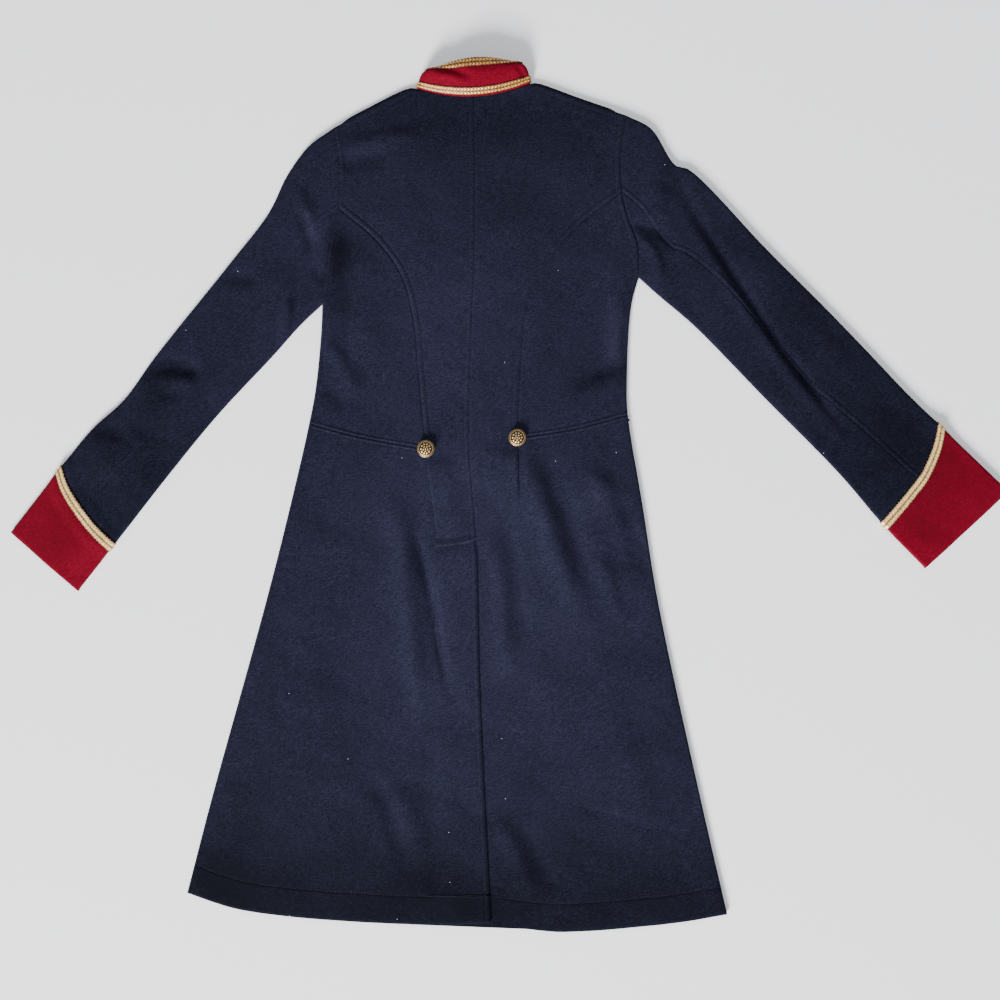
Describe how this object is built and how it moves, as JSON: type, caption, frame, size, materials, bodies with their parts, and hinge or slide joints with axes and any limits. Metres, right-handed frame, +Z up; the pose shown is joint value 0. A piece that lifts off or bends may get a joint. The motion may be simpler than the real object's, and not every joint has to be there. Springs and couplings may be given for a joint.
{
  "type": "military frock coat",
  "caption": "Knee-length navy military frock coat laid flat face down, with a red stand collar and cuffs edged in gold braid, waist buttons, pleats and a back vent.",
  "frame": {"origin": "middle of the coat's box on the surface it lies on", "axes": "+Z up from the surface, +Y towards the collar, +X to the right as the coat lies with its back uppermost"},
  "size_m": [1.249, 1.0938, 0.0256],
  "materials": {
    "navy_cloth": "felted navy jersey, soft nap, matte",
    "red_cloth": "crimson felted jersey, matte",
    "gold_braid": "woven metallic gold braid, satin",
    "brass": "antique gold, worn and darkened in the recesses"
  },
  "bodies": {
    "root": {"back_centre_left": "navy_cloth", "back_centre_right": "navy_cloth", "back_side_left": "navy_cloth", "back_side_right": "navy_cloth", "skirt_left": "navy_cloth", "skirt_right": "navy_cloth", "vent_underlap": "navy_cloth", "front_left": "navy_cloth", "front_right": "navy_cloth", "sleeve_upper_left": "navy_cloth", "sleeve_upper_right": "navy_cloth", "sleeve_under_left": "navy_cloth", "sleeve_under_right": "navy_cloth", "cuff_left": "red_cloth", "cuff_right": "red_cloth", "cuff_braid_left": "gold_braid", "cuff_braid_right": "gold_braid", "collar": "red_cloth", "collar_braid_lower": "gold_braid", "collar_braid_upper": "gold_braid", "button_left": "brass", "button_right": "brass"}
  },
  "joints": []
}
